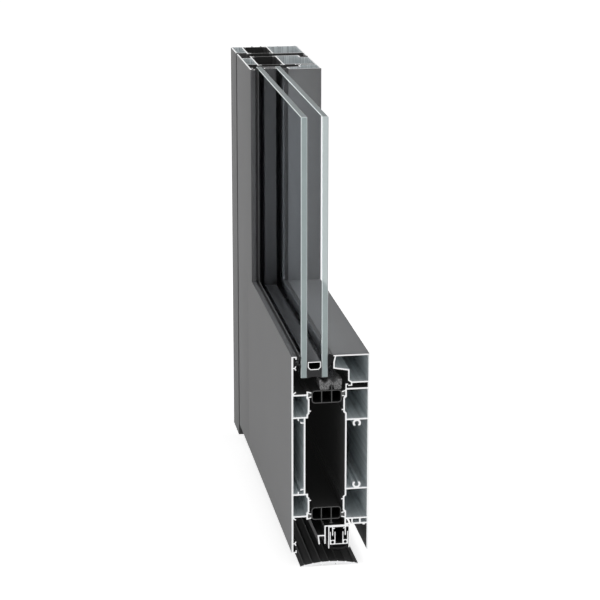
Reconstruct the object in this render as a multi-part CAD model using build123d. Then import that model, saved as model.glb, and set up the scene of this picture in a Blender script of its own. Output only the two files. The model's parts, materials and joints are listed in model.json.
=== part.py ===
"""Corner section of an insulated aluminium entrance door: jamb, glazed leaf with a tall
bottom rail, double glazing, drop seal and threshold.

Axes: X runs across the door, from the wall face of the jamb to the cut end. Y runs through
the door, from the outer face to the inner face. Z runs up from the floor.
Every section is drawn flat as (depth, place), measured from the outer face, the wall face
and the floor: depth is Y, and place is X on the upright pieces and Z on the level ones.
The finished pieces are then set about the middle of the jamb's flat back, by which the
real door is held to the wall.
"""
import os

from build123d import *

os.makedirs("parts", exist_ok=True)

# Overall sizes of the sample
SAMPLE_WIDTH = 447.0     # wall face of the jamb to the cut end
SAMPLE_HEIGHT = 440.0    # floor to the cut top
DOOR_DEPTH = 75.0        # outer face to inner face, for jamb and leaf alike
LEAF_FOOT = 15.0         # floor to the foot of the leaf

# Face widths, seen from outside
JAMB_FACE = 45.0
SHADOW_GAP = 8.0         # between jamb and leaf
STILE_FACE = 112.0
RAIL_FACE = 197.4

# Aluminium walls
FACE_WALL = 1.7          # walls that show
WEB = 1.5                # walls inside the sections
LIP = 1.1                # hooks, nibs and clips
SEAL_PLAY = 0.3          # left between a soft lip and the moving piece that it seals on

# Dovetail grooves and the insulating bars that they hold
GROOVE_MOUTH = 2.6
GROOVE_ROOT = 4.8
GROOVE_LIP = 3.2         # how far the groove's lips stand out
BAR_PLAY = 0.25          # bar to the lips of its grooves
BAR_FLARE = 0.6          # how much narrower a foot is than the root of its groove

# Hollow bars of the rail
BAR_HEIGHT = 12.7
BAR_WALL = 0.8
BAR_CORNER = 3.4
BAR_OFFSET = 2.3         # middle of a bar to the line of its feet
BAR_CHAMBERS = 3
BAR_STEM = 4.4           # stem and button on the outside of a bar
BUTTON_WIDTH = 3.4

# Jamb, from its wall face
JAMB_CORE = 53.0         # front of the insulated core
STOP_TIP = 76.0          # tip of the stop that the leaf closes against
STOP_GROOVE = 7.5        # clear width of the gasket groove in the stop
BACK_NIB = 4.0           # how far the nibs stand out behind the wall face
OUTER_BACK_NIB = 2.6     # depth of the nib on the outer shell
FIRST_BACK_NIB = 14.0    # front of the inner shell to its first nib
LAST_BACK_NIB = 2.8      # inner face to the last nib
BAR_LUGS = (0.42, 0.8)   # lugs on the back bar, as shares of its length

# Stile, from the edge of the leaf
LEAF_REBATE = 18.0       # back of the insulated core
OUTER_CHAMBER_BACK = 31.0
OUTER_CHAMBER_FRONT = 75.0
STILE_FRONT = 79.0       # front wall of the inner shell
CORE_FRONT = 83.0        # front of the insulated core
STOP_REBATE = 31.0       # where the inner face begins, past the stop
STOP_STEP = 9.6          # depth that is kept free for the stop

# Depths of the upright sections, from the outer face
UPRIGHT_OUTER = 13.2     # back of the outer shell
UPRIGHT_INNER = 39.2     # front of the inner shell

# Depths of the rail, from the outer face
RAIL_SLIM = 13.3         # back of the slim middle chamber
RAIL_GROOVE_OUTER = 15.9     # bottom of the outer shell's grooves
RAIL_SHOULDER_OUTER = 17.2
RAIL_SHOULDER_INNER = 49.8
RAIL_GROOVE_INNER = 51.6     # bottom of the inner shell's grooves

# Heights in the rail, from the mirror line of its core
CORE_LINE = 98.1         # foot of the leaf to the mirror line
OUTER_STEP_WEB = 38.7
INNER_PORT_WEB = 34.9
CORE_NIB = 45.0
GROOVE_LINE = 61.0
INNER_END_WEB = 65.4
SHOULDER_FROM = 42.8
SHOULDER_TO = 56.4
NIB_REACH = 1.6
CORNER_NIB_RISE = 2.6    # slanted nibs in the corners beside the outer grooves

# Screw ports in the chambers
PORT_OUTER = 7.8
PORT_BORE = 4.2
PORT_MOUTH = 2.6
PORT_ARM = 2.4           # middle of a port to the ends of its arms
PORT_SHARE = 0.47        # place of a port between the inner shell's leg and the inner face
HALF_PORT_DEPTH = 8.2    # middle of a port between two slanted nibs, in the slim chamber
HALF_PORT_SPREAD = 3.4
HALF_PORT_NIB = 6.2      # depth of the nib on the web

# Slotted foot of the rail's inner shell
FOOT_WALL = 27.3         # foot of the leaf to the lower wall
FOOT_RIBS = (0.29, 0.63) # ribs, as shares of the way from the leg to the inner face
FOOT_LIP = 3.4           # lip beside the slot for the drop seal's clips
FOOT_NIB = 4.6           # inner face to the nib under the lower wall

# Double glazing
PANE_FACE = 9.0          # outer face of the door to the outer pane
PANE = 6.0
PANE_GAP = 13.8
EDGE_COVER = 21.9        # glass behind the sight line
SPACER_INSET = 8.2       # edge of the glass to the spacer
SPACER_SIDE = 0.6        # spacer to each pane, where the sealant reaches up
SPACER_HEIGHT = 8.0
SPACER_WALL = 0.8
SPACER_CHAMFER = 2.4
SEAL_HOLLOW = 1.6        # how far the edge seal is dished

# Glazing bead, from the sight line
BEAD_HEIGHT = 28.2
BEAD_NOSE_REACH = 5.2    # inner pane to the nose
BEAD_NOSE_LEAN = 1.6     # how far the nose leans back above its bend
BEAD_NOSE_BEND = 7.0
BEAD_NOSE_HEIGHT = 13.2
BEAD_HEEL_FALL = 2.6
BEAD_HEEL_SET = 3.4      # heel to the foot wall
BEAD_CHAMFER = 2.4
BEAD_WALL = 1.3
CLIP_GAP = 0.5           # bead foot to the hook that it clips on
CLIP_REACH = 1.9
CLIP_DROP = 2.3
BEAD_SEAT = 0.1

# Gaskets and their grooves
HOOK_REACH = 4.4         # depth of the hook at the edge
HOOK_DROP = 2.8
ARROW_REACH = 4.2
ARROW_BARB = 2.0
SIGHT_ARROW = 11.4       # sight line to the arrow nib of its groove
FOOT_ARROW = 9.6         # the same from the foot of the leaf
GASKET_LIP = 1.2
GASKET_BASE = 2.2
WEDGE_RISE = 1.4         # wedge gasket above the bead
WEDGE_BELLY = 4.6        # sight line to its widest place
WEDGE_DEPTH = 11.4       # sight line to its point

# Foam in the rebate below the glass
FOAM_INSET = 2.6         # inner groove to the foam
FOAM_WIDTH = 22.4
FOAM_TAPER = 0.8
FOAM_HEIGHT = 10.5
FOAM_TIPS = (2.2, 2.4, 5.0)         # widths of the tips, with round hollows between them
FOAM_SLOT = 4.6

# Drop seal, from the foot of the leaf
BRACKET_LEFT = 32.0      # depth of its leg
BRACKET_WALL = 1.2
BRACKET_FOOT = 7.8
ARM_HEIGHT = 16.4
ARM_LEFT = 25.4
ARM_LEAN = 1.0
ARM_FOOT = 7.6
HOUSING_LEFT = 35.8
HOUSING_RIGHT = 56.6
HOUSING_FOOT = 2.8
HOUSING_WALL = 1.0
GUIDE_INSET = 4.2
GUIDE_LENGTH = 9.6
GUIDE_BARB = 1.6         # barb on each guide, above the carrier
BARB_DROP = 2.2
CARRIER_PLAY = 0.5       # carrier to the walls of its housing
CARRIER_END_PLAY = 5.0   # carrier to the stile
CARRIER_WALL = 0.8
CARRIER_BASE = 7.4
CARRIER_TOP = 19.6
CARRIER_PORT = 3.0
RUBBER_FOOT = 1.4
RUBBER_WALL = 1.2
RUBBER_BELLY = 1.2       # how far the lip bulges down

# Threshold saddle
SADDLE_OUTER = 8.6       # outer face of the door to the saddle
SADDLE_INNER = 9.8       # saddle to the inner face of the door
SADDLE_CROWN = 4.4       # height without its ribs
SADDLE_EDGE = 0.8
SADDLE_WALL = 2.4
SADDLE_RIBS = 7
RIB_HEIGHT = 0.5
RIB_WIDTH = 1.2
SADDLE_FEET = 4
SADDLE_FOOT = 1.6

# Places that follow from the sizes above
LEAF_EDGE = JAMB_FACE + SHADOW_GAP
LEAF_CORE = LEAF_EDGE + LEAF_REBATE
LEAF_CORE_FRONT = LEAF_EDGE + CORE_FRONT
STILE_END = LEAF_EDGE + STILE_FRONT
SIGHT_X = LEAF_EDGE + STILE_FACE
SIGHT_Z = LEAF_FOOT + RAIL_FACE
CORE_Z = LEAF_FOOT + CORE_LINE
RAIL_TOP_WEB = CORE_Z + INNER_END_WEB
GLASS_X = SIGHT_X - EDGE_COVER
GLASS_Z = SIGHT_Z - EDGE_COVER
INNER_PANE = PANE_FACE + PANE + PANE_GAP
GLASS_BACK = INNER_PANE + PANE
GROOVE_EDGE = GROOVE_ROOT / 2 + LIP     # middle of a groove to the end of its core
INNER_LEG = RAIL_GROOVE_INNER + WEB / 2
BEAD_NOSE = GLASS_BACK + BEAD_NOSE_REACH
BEAD_HEEL = INNER_LEG + CLIP_REACH
FOAM_FLOOR = CORE_Z + GROOVE_LINE - BAR_OFFSET + BAR_HEIGHT / 2
FOAM_TO = RAIL_GROOVE_INNER - FOAM_INSET
FOAM_FROM = FOAM_TO - FOAM_WIDTH
SEAL_TOP = LEAF_FOOT + FOOT_WALL - WEB / 2
SADDLE_DEPTH = DOOR_DEPTH - SADDLE_OUTER - SADDLE_INNER
INNER_BACK_NIBS = (UPRIGHT_INNER + FIRST_BACK_NIB, DOOR_DEPTH - LAST_BACK_NIB)
BACK_MIDDLE = sum(INNER_BACK_NIBS) / 2


def strip(points, thickness):
    """A wall of even thickness along a bent centre line, with mitred corners."""
    line = [Vector(*point) for point in points]
    headings = [(end - start).normalized() for start, end in zip(line, line[1:])]
    sides = []
    for index, corner in enumerate(line):
        before = headings[max(index - 1, 0)]
        after = headings[min(index, len(headings) - 1)]
        mitre = (before + after).normalized()
        reach = thickness / 2 / mitre.dot(after)
        sides.append((corner, Vector(-mitre.Y, mitre.X) * reach))
    left = [corner + side for corner, side in sides]
    right = [corner - side for corner, side in reversed(sides)]
    return make_face(Polyline(*left, *right, close=True))


def block(depth0, depth1, place0, place1):
    """A rectangle between two corners."""
    middle = Pos((depth0 + depth1) / 2, (place0 + place1) / 2)
    return middle * Rectangle(abs(depth1 - depth0), abs(place1 - place0))


def join(pieces):
    """All the pieces of a section as one."""
    section = pieces[0]
    for piece in pieces[1:]:
        section += piece
    return section


def flipped(section):
    """A section and its mirror image about place zero."""
    return section + mirror(section, about=Plane.XZ)


def upright(section, foot, top=SAMPLE_HEIGHT):
    """A section whose places are X, run between two heights."""
    plane = Plane(origin=(0, 0, top), x_dir=(0, 1, 0), z_dir=(0, 0, -1))
    return extrude(plane * section, amount=top - foot)


def level(section, start, end=SAMPLE_WIDTH):
    """A section whose places are Z, run across the door between two places."""
    plane = Plane(origin=(start, 0, 0), x_dir=(0, 1, 0), z_dir=(1, 0, 0))
    return extrude(plane * section, amount=end - start)


def save(name, solid):
    """Write one piece to its own file, set about the middle of the jamb's flat back."""
    export_step(Pos(0, -BACK_MIDDLE, -SAMPLE_HEIGHT / 2) * solid, f"parts/{name}.step")
    print(f"{name}: {solid.volume / 1000:.1f} cm3")


def groove(back, line, side):
    """A dovetail groove with its bottom at one depth, open towards the cavity (side 1 when
    the cavity is deeper, -1 when it is nearer the outer face)."""
    root = GROOVE_ROOT / 2 + LIP / 2
    mouth = GROOVE_MOUTH / 2 + LIP / 2
    section = block(back - side * WEB, back, line - root - LIP / 2, line + root + LIP / 2)
    for turn in (1, -1):
        start = (back - side * WEB / 2, line + turn * root)
        tip = (back + side * GROOVE_LIP, line + turn * mouth)
        section += strip([start, tip], LIP)
    return section


def bar_foot(back, line, side, reach):
    """The dovetail foot of a bar and its neck, which reaches past the groove's lips."""
    root = (GROOVE_ROOT - BAR_FLARE) / 2 - BAR_PLAY
    mouth = GROOVE_MOUTH / 2 - BAR_PLAY
    neck = back + side * GROOVE_LIP
    half = [(back, root), (neck, mouth), (neck + side * reach, mouth)]
    upper = [(depth, line + width) for depth, width in half]
    lower = [(depth, line - width) for depth, width in reversed(half)]
    return make_face(Polyline(*upper, *lower, close=True))


def flat_bar(line, lugs=()):
    """A thin bar between the shells of an upright section, with lugs towards the wall."""
    middle = (UPRIGHT_INNER - UPRIGHT_OUTER) / 2 - GROOVE_LIP
    section = bar_foot(UPRIGHT_OUTER, line, 1, middle) + bar_foot(UPRIGHT_INNER, line, -1, middle)
    for share in lugs:
        depth = UPRIGHT_OUTER + share * (UPRIGHT_INNER - UPRIGHT_OUTER)
        section += block(depth - LIP / 2, depth + LIP / 2, -BACK_NIB, line)
    return section


def stem_depth():
    """Depth of the hollow bars' second divider, which their stems stand on."""
    start = RAIL_GROOVE_OUTER + GROOVE_LIP + BAR_PLAY
    end = RAIL_GROOVE_INNER - GROOVE_LIP - BAR_PLAY
    return start + (end - start) * (BAR_CHAMBERS - 1) / BAR_CHAMBERS


def hollow_bar(line, side):
    """A bar of three chambers between the shells of the rail, with its feet on the line,
    its body towards the core's mirror line, and a stem with a button on its other side."""
    start = RAIL_GROOVE_OUTER + GROOVE_LIP + BAR_PLAY
    length = RAIL_GROOVE_INNER - GROOVE_LIP - BAR_PLAY - start
    middle = line - side * BAR_OFFSET
    centre = Pos(start + length / 2, middle)
    body = centre * RectangleRounded(length, BAR_HEIGHT, BAR_CORNER)
    neck = BAR_PLAY + BAR_CORNER / 2
    body += bar_foot(RAIL_GROOVE_OUTER, line, 1, neck) + bar_foot(RAIL_GROOVE_INNER, line, -1, neck)
    body -= centre * RectangleRounded(length - 2 * BAR_WALL, BAR_HEIGHT - 2 * BAR_WALL,
                                      BAR_CORNER - BAR_WALL)
    for index in range(1, BAR_CHAMBERS):
        divider = Pos(start + length * index / BAR_CHAMBERS, middle)
        body += divider * Rectangle(BAR_WALL, BAR_HEIGHT - BAR_WALL)
    face = middle + side * (BAR_HEIGHT - BAR_WALL) / 2
    tip = face + side * BAR_STEM
    stem = stem_depth()
    body += block(stem - BAR_WALL / 2, stem + BAR_WALL / 2, face, tip)
    return body + Pos(stem, tip) * Ellipse(BUTTON_WIDTH / 2, BAR_WALL / 2)


def screw_port(depth, web, turn):
    """A C-shaped port for the corner screws, on one side of its web."""
    centre = Pos(depth, web + turn * (PORT_OUTER - LIP) / 2)
    ring = Circle(PORT_OUTER / 2) - Circle(PORT_BORE / 2)
    mouth = Pos(0, turn * PORT_OUTER / 2) * Rectangle(PORT_MOUTH, PORT_OUTER)
    ends = Pos(0, turn * (PORT_ARM + PORT_OUTER / 2)) * Rectangle(PORT_OUTER, PORT_OUTER)
    return centre * (ring - mouth - ends)


def gasket_groove(edge, side, arrow):
    """Hook at an edge of the outer face and an arrow nib some way in from it (side 1 when
    the edge is the upper end of the face, -1 when it is the lower end)."""
    lip = edge - side * LIP / 2
    section = strip([(0, lip), (HOOK_REACH, lip), (HOOK_REACH, edge - side * HOOK_DROP)], LIP)
    nib = edge - side * arrow
    neck = ARROW_REACH - LIP
    section += block(FACE_WALL / 2, neck, nib - LIP / 2, nib + LIP / 2)
    head = [(ARROW_REACH, nib + ARROW_BARB), (neck, nib), (ARROW_REACH, nib - ARROW_BARB)]
    return section + strip(head, LIP)


def clip_hook(sight, web):
    """The hook that the glazing bead snaps over, standing on the inner shell's end web."""
    top = sight - BEAD_HEIGHT - CLIP_GAP - LIP / 2
    return strip([(INNER_LEG, web), (INNER_LEG, top), (INNER_LEG + CLIP_REACH, top)], LIP)


def bead_section(sight):
    """Hollow glazing bead between the sight line and its clip foot, with a nub on its nose
    over the wedge gasket."""
    foot = sight - BEAD_HEIGHT
    nose = sight - BEAD_NOSE_HEIGHT
    corners = [
        (BEAD_NOSE + BEAD_NOSE_LEAN, sight),
        (DOOR_DEPTH, sight),
        (DOOR_DEPTH, foot),
        (BEAD_HEEL + BEAD_HEEL_SET, foot),
        (BEAD_HEEL, foot + BEAD_CHAMFER),
        (BEAD_HEEL, nose - BEAD_HEEL_FALL),
        (BEAD_NOSE, nose),
        (BEAD_NOSE, sight - BEAD_NOSE_BEND),
    ]
    outline = make_face(Polyline(*corners, close=True))
    wall = outline - offset(outline, amount=-BEAD_WALL, kind=Kind.INTERSECTION)
    nub = block(BEAD_NOSE, BEAD_NOSE + BEAD_NOSE_LEAN + BEAD_WALL, sight - LIP, sight)
    toe = [
        (BEAD_HEEL + BEAD_HEEL_SET, foot + BEAD_WALL / 2),
        (BEAD_HEEL + BEAD_HEEL_SET, foot - CLIP_DROP),
        (BEAD_HEEL, foot - CLIP_DROP),
    ]
    return wall + nub + strip(toe, LIP)


def rail_bead():
    """The level bead, with its nose notched round the front of the stile's core."""
    core = block(UPRIGHT_INNER, UPRIGHT_INNER + WEB + BEAD_SEAT, SIGHT_Z - BEAD_HEIGHT, SIGHT_Z)
    return level(bead_section(SIGHT_Z), STILE_END) - level(core, STILE_END, LEAF_CORE_FRONT)


def back_nib(depth):
    """A nib behind the jamb, between which the fixings of the frame clip in."""
    return block(depth - LIP / 2, depth + LIP / 2, -BACK_NIB, WEB / 2)


def jamb_outer_shell():
    """Closed chamber behind the jamb's outer face."""
    section = join([
        block(0, FACE_WALL, 0, JAMB_FACE),
        block(0, UPRIGHT_OUTER, JAMB_FACE - WEB, JAMB_FACE),
        block(0, UPRIGHT_OUTER, 0, WEB),
        block(UPRIGHT_OUTER - WEB, UPRIGHT_OUTER, 0, JAMB_CORE),
        groove(UPRIGHT_OUTER, GROOVE_EDGE, 1),
        groove(UPRIGHT_OUTER, JAMB_CORE - GROOVE_EDGE, 1),
        back_nib(OUTER_BACK_NIB),
    ])
    return upright(section, 0)


def jamb_inner_shell():
    """Deep inner chamber of the jamb, with the stop flange and its gasket groove."""
    stop = DOOR_DEPTH - FACE_WALL
    section = join([
        block(UPRIGHT_INNER, UPRIGHT_INNER + WEB, 0, JAMB_CORE),
        block(UPRIGHT_INNER, DOOR_DEPTH, JAMB_CORE - WEB, JAMB_CORE),
        block(UPRIGHT_INNER, DOOR_DEPTH, 0, WEB),
        block(stop, DOOR_DEPTH, 0, STOP_TIP),
        block(stop - GASKET_BASE, stop, STOP_TIP - LIP, STOP_TIP),
        block(stop - GASKET_BASE, stop, STOP_TIP - STOP_GROOVE - 2 * LIP, STOP_TIP - STOP_GROOVE - LIP),
        groove(UPRIGHT_INNER, GROOVE_EDGE, -1),
        groove(UPRIGHT_INNER, JAMB_CORE - GROOVE_EDGE, -1),
    ])
    for depth in INNER_BACK_NIBS:
        section += back_nib(depth)
    return upright(section, 0)


def jamb_stop_gasket():
    """Rubber in the groove of the stop, with a lip towards the leaf."""
    stop = DOOR_DEPTH - FACE_WALL
    step = DOOR_DEPTH - STOP_STEP
    far = STOP_TIP - LIP - SEAL_PLAY
    near = far - STOP_GROOVE + 2 * SEAL_PLAY
    seat = step + SEAL_PLAY + GASKET_LIP / 2
    lip = [
        (stop - GASKET_BASE + GASKET_LIP / 2, near + GASKET_LIP),
        (stop - GASKET_BASE - GASKET_LIP, near + GASKET_LIP / 2),
        (seat, (near + far) / 2),
        (seat, far),
    ]
    return upright(block(stop - GASKET_BASE, stop, near, far) + strip(lip, GASKET_LIP), 0)


def stile_outer_shell():
    """Outer chamber of the stile, with its rebate leg and, above the rail, its glazing leg."""
    section = join([
        block(0, FACE_WALL, LEAF_EDGE, LEAF_CORE_FRONT),
        block(0, UPRIGHT_OUTER, LEAF_EDGE + OUTER_CHAMBER_BACK, LEAF_EDGE + OUTER_CHAMBER_BACK + WEB),
        block(0, UPRIGHT_OUTER, LEAF_EDGE + OUTER_CHAMBER_FRONT - WEB, LEAF_EDGE + OUTER_CHAMBER_FRONT),
        block(UPRIGHT_OUTER - WEB, UPRIGHT_OUTER, LEAF_CORE, LEAF_CORE_FRONT),
        groove(UPRIGHT_OUTER, LEAF_CORE + GROOVE_EDGE, 1),
        groove(UPRIGHT_OUTER, LEAF_CORE_FRONT - GROOVE_EDGE, 1),
    ])
    leg = block(0, FACE_WALL, LEAF_CORE_FRONT, SIGHT_X) + gasket_groove(SIGHT_X, 1, SIGHT_ARROW)
    return upright(section, LEAF_FOOT) + upright(leg, SIGHT_Z)


def stile_inner_shell():
    """Inner chamber of the stile, stepped back for the stop, with the clip for its bead."""
    step = DOOR_DEPTH - STOP_STEP
    back = LEAF_EDGE + STOP_REBATE
    section = join([
        block(UPRIGHT_INNER, UPRIGHT_INNER + WEB, LEAF_CORE, LEAF_CORE_FRONT),
        block(UPRIGHT_INNER, step, LEAF_CORE, LEAF_CORE + WEB),
        block(step - WEB, step, LEAF_CORE, back + WEB),
        block(step - WEB, DOOR_DEPTH, back, back + WEB),
        block(DOOR_DEPTH - FACE_WALL, DOOR_DEPTH, back, STILE_END),
        block(UPRIGHT_INNER, DOOR_DEPTH, STILE_END - WEB, STILE_END),
        groove(UPRIGHT_INNER, LEAF_CORE + GROOVE_EDGE, -1),
        groove(UPRIGHT_INNER, LEAF_CORE_FRONT - GROOVE_EDGE, -1),
    ])
    seat = join([
        block(DOOR_DEPTH - FACE_WALL, DOOR_DEPTH, STILE_END - WEB, SIGHT_X - BEAD_HEIGHT - BEAD_SEAT),
        block(UPRIGHT_INNER, DOOR_DEPTH, STILE_END - WEB, STILE_END),
        clip_hook(SIGHT_X, STILE_END - WEB / 2),
    ])
    return upright(section, LEAF_FOOT) + upright(seat, SIGHT_Z)


def rail_outer_core():
    """Upper half of the rail's outer chambers, from the mirror line of the core."""
    slim = RAIL_SLIM - WEB / 2
    bottom = RAIL_GROOVE_OUTER - WEB / 2
    shoulder = RAIL_SHOULDER_OUTER - WEB / 2
    jog = [(bottom, OUTER_STEP_WEB), (bottom, SHOULDER_FROM - WEB), (shoulder, SHOULDER_FROM),
           (shoulder, SHOULDER_TO), (bottom, SHOULDER_TO + WEB), (bottom, GROOVE_LINE)]
    half_port = OUTER_STEP_WEB - WEB / 2 - HALF_PORT_SPREAD
    corner = GROOVE_LINE + WEB / 2
    return join([
        block(slim - WEB / 2, slim + WEB / 2, 0, OUTER_STEP_WEB),
        block(0, RAIL_GROOVE_OUTER, OUTER_STEP_WEB - WEB / 2, OUTER_STEP_WEB + WEB / 2),
        block(0, bottom, GROOVE_LINE - WEB / 2, corner),
        strip(jog, WEB),
        groove(RAIL_GROOVE_OUTER, GROOVE_LINE, 1),
        block(shoulder, RAIL_SHOULDER_OUTER + NIB_REACH, CORE_NIB - LIP / 2, CORE_NIB + LIP / 2),
        strip([(FACE_WALL / 2, corner), (ARROW_REACH, corner + CORNER_NIB_RISE)], LIP),
        strip([(HALF_PORT_NIB, OUTER_STEP_WEB), (HALF_PORT_NIB + LIP / 2, half_port + LIP)], LIP),
        strip([(slim, half_port - LIP), (HALF_PORT_DEPTH + LIP, half_port - LIP),
               (HALF_PORT_DEPTH + LIP / 2, half_port)], LIP),
    ])


def rail_outer_shell():
    """The rail's outer face with the chambers behind it and a gasket groove at each end."""
    section = join([
        Pos(0, CORE_Z) * flipped(rail_outer_core()),
        block(0, FACE_WALL, LEAF_FOOT, SIGHT_Z),
        gasket_groove(SIGHT_Z, 1, SIGHT_ARROW),
        gasket_groove(LEAF_FOOT, -1, FOOT_ARROW),
    ])
    return level(section, LEAF_CORE_FRONT)


def rail_inner_core():
    """Upper half of the rail's inner chambers, from the mirror line of the core."""
    shoulder = RAIL_SHOULDER_INNER + WEB / 2
    port = INNER_LEG + PORT_SHARE * (DOOR_DEPTH - INNER_LEG)
    jog = [(INNER_LEG, 0), (INNER_LEG, SHOULDER_FROM - WEB), (shoulder, SHOULDER_FROM),
           (shoulder, SHOULDER_TO), (INNER_LEG, SHOULDER_TO + WEB), (INNER_LEG, INNER_END_WEB)]
    return join([
        strip(jog, WEB),
        block(INNER_LEG, DOOR_DEPTH, INNER_END_WEB - WEB / 2, INNER_END_WEB + WEB / 2),
        block(INNER_LEG, DOOR_DEPTH, INNER_PORT_WEB - WEB / 2, INNER_PORT_WEB + WEB / 2),
        groove(RAIL_GROOVE_INNER, GROOVE_LINE, -1),
        block(RAIL_SHOULDER_INNER - NIB_REACH, shoulder, CORE_NIB - LIP / 2, CORE_NIB + LIP / 2),
        screw_port(port, INNER_PORT_WEB - WEB / 2, -1),
    ])


def rail_foot():
    """Slotted foot below the rail's inner chambers, where the drop seal clips in."""
    wall = LEAF_FOOT + FOOT_WALL
    web = CORE_Z - INNER_END_WEB
    ribs = [INNER_LEG + share * (DOOR_DEPTH - INNER_LEG) for share in FOOT_RIBS]
    nib = DOOR_DEPTH - FOOT_NIB
    section = join([
        strip([(INNER_LEG, web), (INNER_LEG, wall), (INNER_LEG + FOOT_LIP, wall)], WEB),
        block(ribs[0] - WEB / 2, DOOR_DEPTH, wall - WEB / 2, wall + WEB / 2),
        block(nib - LIP, nib + LIP, wall - WEB / 2 - LIP, wall),
    ])
    for rib in ribs:
        section += block(rib - WEB / 2, rib + WEB / 2, wall, web)
    return section


def rail_inner_shell():
    """The rail's inner face with the chambers behind it and the clip for its bead."""
    section = Pos(0, CORE_Z) * flipped(rail_inner_core())
    section += block(DOOR_DEPTH - FACE_WALL, DOOR_DEPTH, LEAF_FOOT, SIGHT_Z - BEAD_HEIGHT - BEAD_SEAT)
    section += rail_foot()
    section += clip_hook(SIGHT_Z, RAIL_TOP_WEB)
    return level(section, STILE_END)


def rail_bar(side):
    """One of the two bars that join the rail's shells: side 1 is the upper one."""
    bar = Pos(0, CORE_Z) * hollow_bar(side * GROOVE_LINE, side)
    return level(bar, LEAF_CORE_FRONT)


def outer_gasket(sight):
    """Rubber with two lips between the outer face's hook and nib and the outer pane."""
    top = sight - HOOK_DROP - SEAL_PLAY
    bottom = sight - SIGHT_ARROW + 2 * LIP + SEAL_PLAY
    upper = top - GASKET_LIP / 2
    lower = bottom + GASKET_LIP / 2
    root = FACE_WALL + GASKET_BASE / 2
    face = PANE_FACE - GASKET_LIP / 2
    bend = face - GASKET_LIP
    return join([
        block(FACE_WALL, FACE_WALL + GASKET_BASE, bottom, top),
        strip([(root, upper), (bend, upper), (face, top + GASKET_LIP), (face, sight)], GASKET_LIP),
        strip([(root, lower), (bend, lower), (face, bottom - GASKET_LIP),
               (face, bottom - 2 * GASKET_LIP)], GASKET_LIP),
    ])


def inner_gasket(sight):
    """Wedge of rubber between the inner pane and the nose of the bead, with a lip above the
    sight line and its point on the glass."""
    seat = BEAD_NOSE - SEAL_PLAY
    corners = [
        (GLASS_BACK, sight + WEDGE_RISE / 2),
        (GLASS_BACK, sight - WEDGE_DEPTH),
        (GLASS_BACK + GASKET_LIP, sight - WEDGE_DEPTH),
        (seat, sight - WEDGE_BELLY),
        (seat, sight),
        (GLASS_BACK + GASKET_LIP, sight + WEDGE_RISE),
    ]
    return make_face(Polyline(*corners, close=True))


def spacer_outline():
    """Outside of the spacer between the panes, from the edge of the glass inwards."""
    near = PANE_FACE + PANE + SPACER_SIDE
    far = INNER_PANE - SPACER_SIDE
    foot = SPACER_INSET
    top = foot + SPACER_HEIGHT
    corners = [
        (near, top), (far, top), (far, foot + SPACER_CHAMFER),
        (far - SPACER_CHAMFER, foot), (near + SPACER_CHAMFER, foot), (near, foot + SPACER_CHAMFER),
    ]
    return make_face(Polyline(*corners, close=True))


def spacer_section():
    """Hollow spacer with an even wall."""
    outline = spacer_outline()
    return outline - offset(outline, amount=-SPACER_WALL, kind=Kind.INTERSECTION)


def edge_seal_section():
    """Sealant behind the spacer, dished at the edge of the glass."""
    near = PANE_FACE + PANE
    fill = block(near, INNER_PANE, 0, SPACER_INSET + SPACER_CHAMFER) - spacer_outline()
    middle = (near + INNER_PANE) / 2
    arc = ThreePointArc((near, 0), (middle, SEAL_HOLLOW), (INNER_PANE, 0))
    return fill - make_face(arc + Line((INNER_PANE, 0), (near, 0)))


def stile_spacer():
    """The upright spacer, which stands on the level one."""
    return upright(Pos(0, GLASS_X) * spacer_section(), GLASS_Z + SPACER_INSET + SPACER_HEIGHT)


def rail_spacer():
    """The level spacer, which begins beside the upright seal."""
    return level(Pos(0, GLASS_Z) * spacer_section(), GLASS_X + SPACER_INSET + SPACER_CHAMFER)


def stile_edge_seal():
    """The upright sealant, which stands on the level one."""
    return upright(Pos(0, GLASS_X) * edge_seal_section(), GLASS_Z + SPACER_INSET + SPACER_CHAMFER)


def pane(depth):
    """One sheet of glass."""
    return level(block(depth, depth + PANE, GLASS_Z, SAMPLE_HEIGHT), GLASS_X)


def rebate_foam():
    """Foam strip on the upper bar, with round hollows between its tips under the glass and a
    slot for the stem."""
    top = FOAM_FLOOR + FOAM_HEIGHT
    corners = [(FOAM_FROM, top), (FOAM_TO, top), (FOAM_TO - FOAM_TAPER, FOAM_FLOOR),
               (FOAM_FROM + FOAM_TAPER, FOAM_FLOOR)]
    section = make_face(Polyline(*corners, close=True))
    hollow = (FOAM_WIDTH - sum(FOAM_TIPS)) / (len(FOAM_TIPS) - 1)
    middle = FOAM_FROM - hollow / 2
    for tip in FOAM_TIPS[:-1]:
        middle += tip + hollow
        section -= Pos(middle, top) * Circle(hollow / 2)
    stem = stem_depth()
    half = BUTTON_WIDTH / 2 + SEAL_PLAY
    section -= block(stem - half, stem + half, FOAM_FLOOR, FOAM_FLOOR + FOAM_SLOT)
    return level(section, LEAF_CORE_FRONT)


def drop_seal_bracket():
    """Bent plate under the rail's foot, with a hooked arm beside the drop seal."""
    top = SEAL_TOP - BRACKET_WALL / 2
    leg = BRACKET_LEFT + BRACKET_WALL / 2
    arm = LEAF_FOOT + ARM_HEIGHT
    plate = [(INNER_LEG + FOOT_LIP, top), (leg, top), (leg, LEAF_FOOT + BRACKET_FOOT)]
    hook = [(leg, arm), (ARM_LEFT + BRACKET_WALL / 2, arm),
            (ARM_LEFT + BRACKET_WALL / 2 + ARM_LEAN, LEAF_FOOT + ARM_FOOT)]
    return level(strip(plate, BRACKET_WALL) + strip(hook, BRACKET_WALL), LEAF_CORE_FRONT)


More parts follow.
